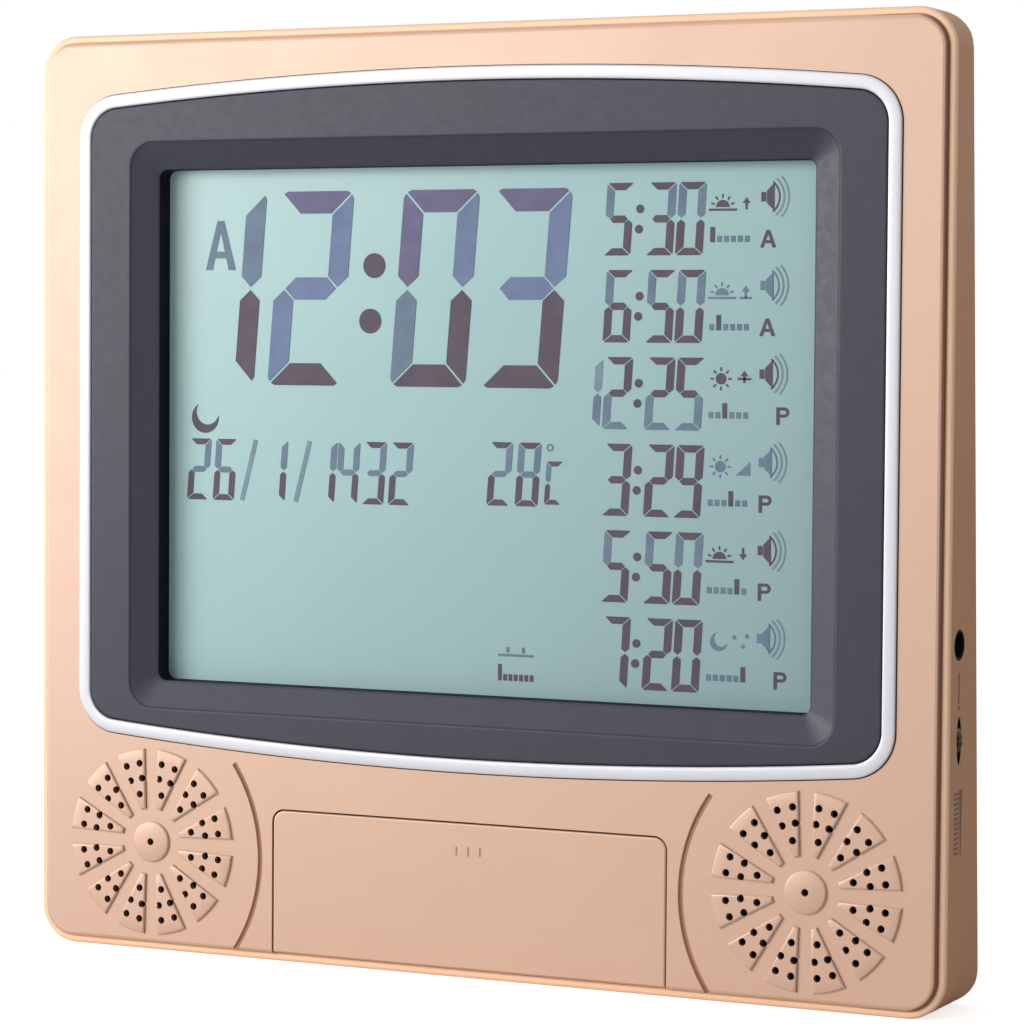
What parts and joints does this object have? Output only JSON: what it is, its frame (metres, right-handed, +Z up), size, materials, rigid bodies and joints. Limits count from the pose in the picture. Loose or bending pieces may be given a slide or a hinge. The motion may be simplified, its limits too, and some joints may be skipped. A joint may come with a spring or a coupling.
{
  "type": "digital prayer clock",
  "caption": "Wedge-shaped table and wall clock with a framed reflective display, speaker grilles, a hinged key door, a volume wheel and a fold-out stand.",
  "frame": {"origin": "middle of the underside of the case", "axes": "+X to the viewer's right, +Y from the display to the back, +Z up"},
  "size_m": [0.2444, 0.0265, 0.231],
  "materials": {
    "face_plastic": "satin metallic lacquer",
    "rear_plastic": "satin metallic lacquer",
    "silver_trim": "satin silver",
    "dark_bezel": "fine satin",
    "display": "pale reflective display",
    "segments": "liquid crystal segments",
    "white_plastic": "satin",
    "strip": "soft",
    "board": "solder mask",
    "black_plastic": "satin",
    "capacitor": "sleeve",
    "bare_metal": "plain",
    "key_rubber": "matte",
    "key_plastic": "satin",
    "sensor": "glazed bead",
    "cell_wrap": "printed sleeve",
    "rubber": "matte",
    "paper_cone": "paper",
    "ferrite": "sintered",
    "screw_steel": "plated"
  },
  "bodies": {
    "case": {"front_case": "face_plastic", "rear_case": "rear_plastic", "silver_trim": "silver_trim", "bezel_frame": "dark_bezel", "lcd_panel": "display", "lcd_segments": "segments", "lcd_holder": "white_plastic", "contact_strip": "strip", "main_board": "board", "main_chip": "black_plastic", "crystal": "bare_metal", "capacitors": "capacitor", "key_board": "board", "key_mat": "key_rubber", "key_tray": "face_plastic", "door_catch": "black_plastic", "left_basket": "bare_metal", "left_cone": "paper_cone", "left_magnet": "ferrite", "right_basket": "bare_metal", "right_cone": "paper_cone", "right_magnet": "ferrite", "side_board": "board", "volume_pot": "bare_metal", "dc_jack": "black_plastic", "jack_pin": "bare_metal", "temperature_sensor": "sensor", "cell_1": "cell_wrap", "cell_2": "cell_wrap", "cell_springs": "bare_metal", "cell_plates": "bare_metal", "case_screws": "screw_steel", "front_screws": "screw_steel", "holder_screws": "screw_steel", "speaker_screws": "screw_steel", "board_screws": "screw_steel"},
    "key_door": {"key_door": "face_plastic"},
    "volume_wheel": {"volume_wheel": "black_plastic"},
    "battery_hatch": {"battery_hatch": "rear_plastic"},
    "stand_leg": {"stand_leg": "rear_plastic", "stand_pad": "rubber"},
    "key_1": {"key_1": "key_plastic"},
    "key_2": {"key_2": "key_plastic"},
    "key_3": {"key_3": "key_plastic"},
    "key_4": {"key_4": "key_plastic"},
    "key_5": {"key_5": "key_plastic"},
    "key_6": {"key_6": "key_plastic"}
  },
  "joints": [
    {"name": "key_door_hinge", "type": "hinge", "parent": "case", "child": "key_door", "pos_m": [0, -0.0107, 0.005], "axis": [1, 0, 0], "range_deg": [0, 90]},
    {"name": "key_1_press", "type": "slide", "parent": "case", "child": "key_1", "axis": [0, 1, 0], "range_m": [0, 0.0009], "stiffness_N_per_m": 400},
    {"name": "key_2_press", "type": "slide", "parent": "case", "child": "key_2", "axis": [0, 1, 0], "range_m": [0, 0.0009], "stiffness_N_per_m": 400},
    {"name": "key_3_press", "type": "slide", "parent": "case", "child": "key_3", "axis": [0, 1, 0], "range_m": [0, 0.0009], "stiffness_N_per_m": 400},
    {"name": "key_4_press", "type": "slide", "parent": "case", "child": "key_4", "axis": [0, 1, 0], "range_m": [0, 0.0009], "stiffness_N_per_m": 400},
    {"name": "key_5_press", "type": "slide", "parent": "case", "child": "key_5", "axis": [0, 1, 0], "range_m": [0, 0.0009], "stiffness_N_per_m": 400},
    {"name": "key_6_press", "type": "slide", "parent": "case", "child": "key_6", "axis": [0, 1, 0], "range_m": [0, 0.0009], "stiffness_N_per_m": 400},
    {"name": "volume_turn", "type": "hinge", "parent": "case", "child": "volume_wheel", "pos_m": [0.1162, -0.00385, 0.0639], "axis": [0, 1, 0], "range_deg": [0, 300]},
    {"name": "battery_hatch_hinge", "type": "hinge", "parent": "case", "child": "battery_hatch", "pos_m": [-0.1052, 0.00917, 0.06147], "axis": [-1, 0, 0], "range_deg": [0, 80]},
    {"name": "stand_hinge", "type": "hinge", "parent": "case", "child": "stand_leg", "pos_m": [0, 0.00738, 0.07789], "axis": [1, 0, 0], "range_deg": [0, 40]}
  ]
}
